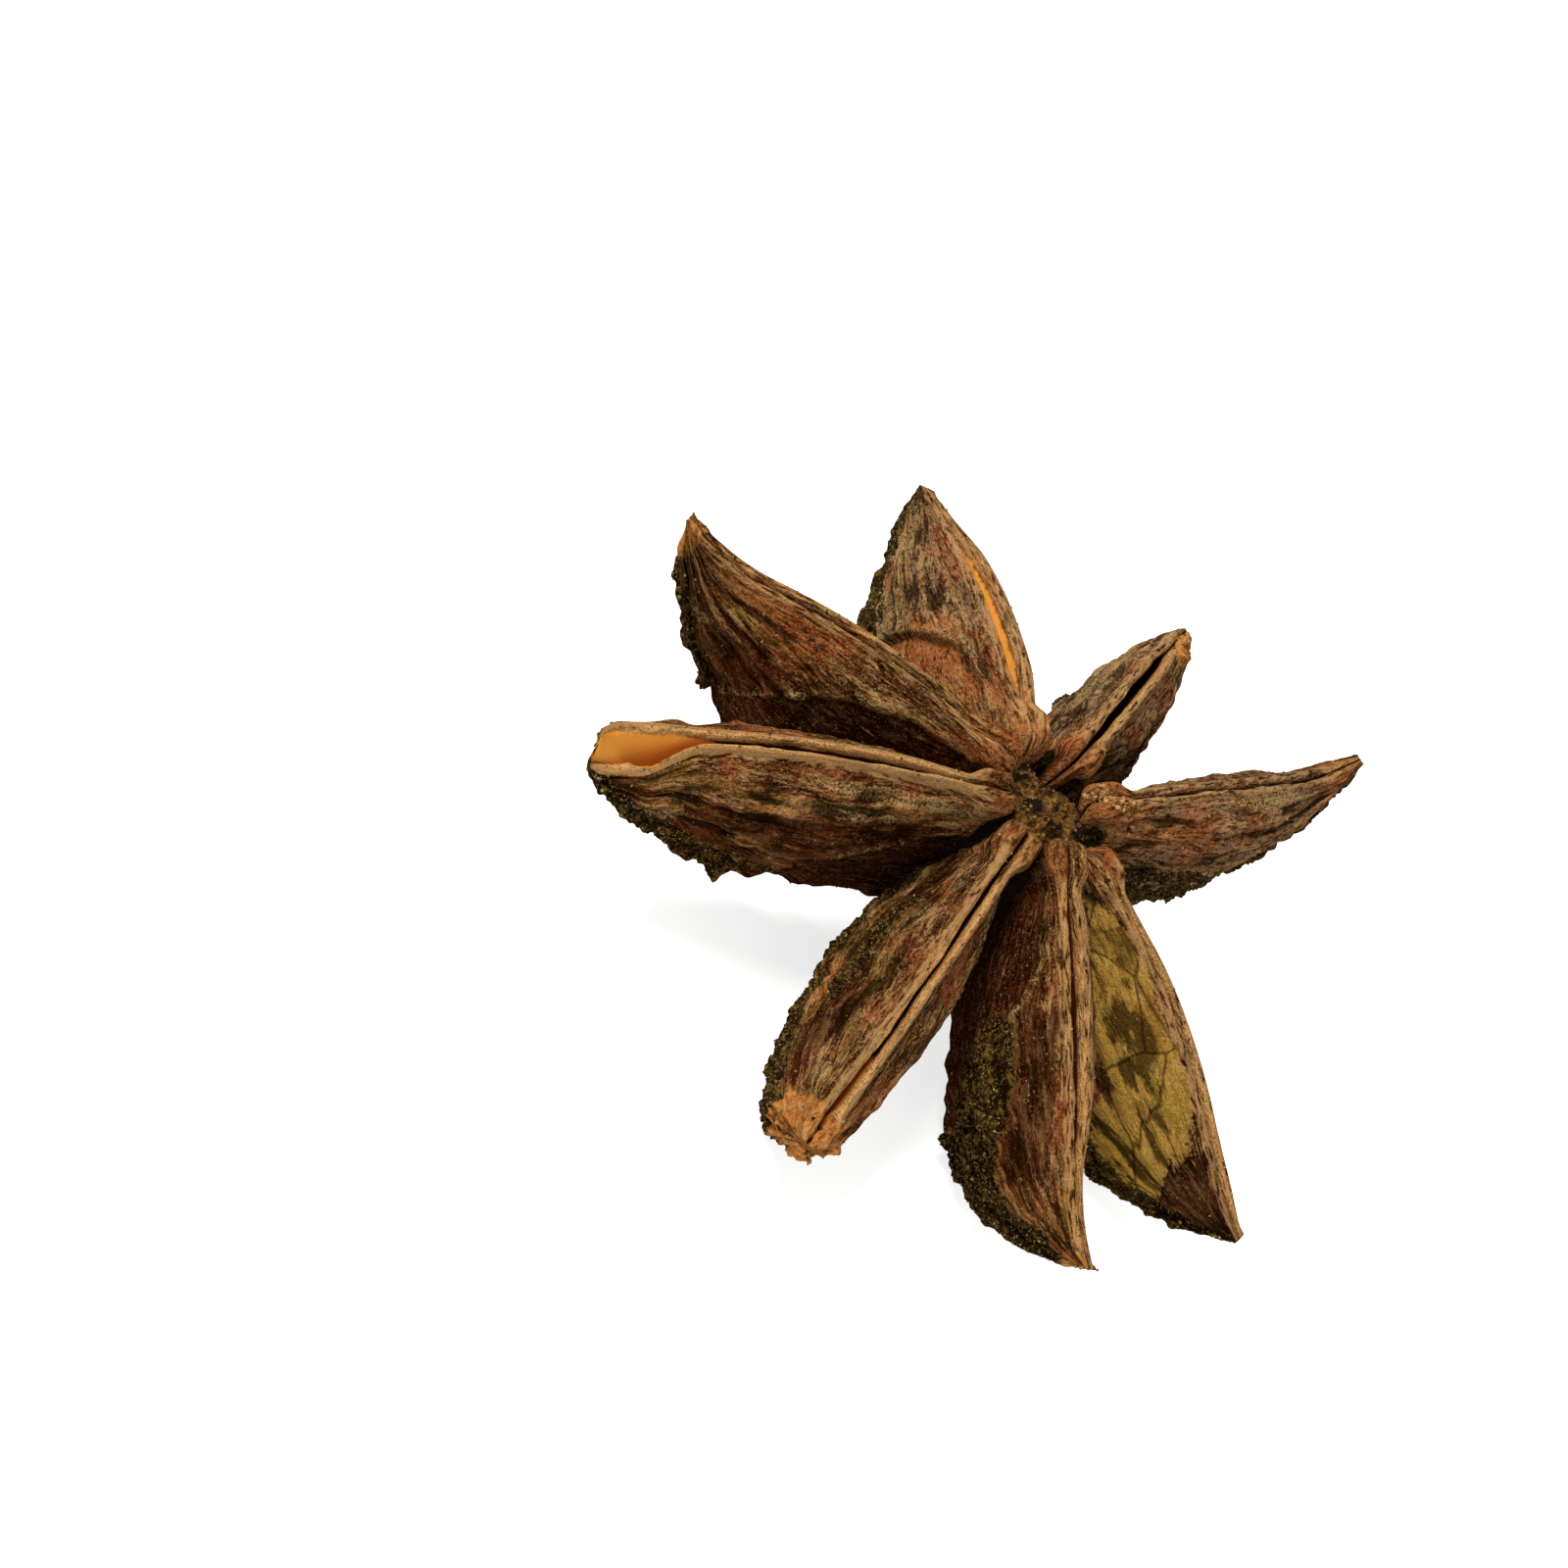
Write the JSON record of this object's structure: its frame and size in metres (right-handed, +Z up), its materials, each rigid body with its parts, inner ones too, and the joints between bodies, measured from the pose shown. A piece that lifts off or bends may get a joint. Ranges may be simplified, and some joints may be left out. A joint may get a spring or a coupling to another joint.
{
  "type": "star anise pod",
  "caption": "Dried star anise pod: woody boat-shaped carpels with open seams and hooked beaks, joined like a star round a short column.",
  "frame": {"origin": "on the table under the middle of the pod's box", "axes": "+Z up, along the pod's axis, out of its seams; the pod lies on its keels as on a table"},
  "size_m": [0.032, 0.0306, 0.0097],
  "materials": {
    "bark": "dry, matt, wrinkled red-brown rind with dark crusts, tan flecks and tan seam lips"
  },
  "bodies": {
    "root": {"star_anise_pod": "bark"}
  },
  "joints": []
}
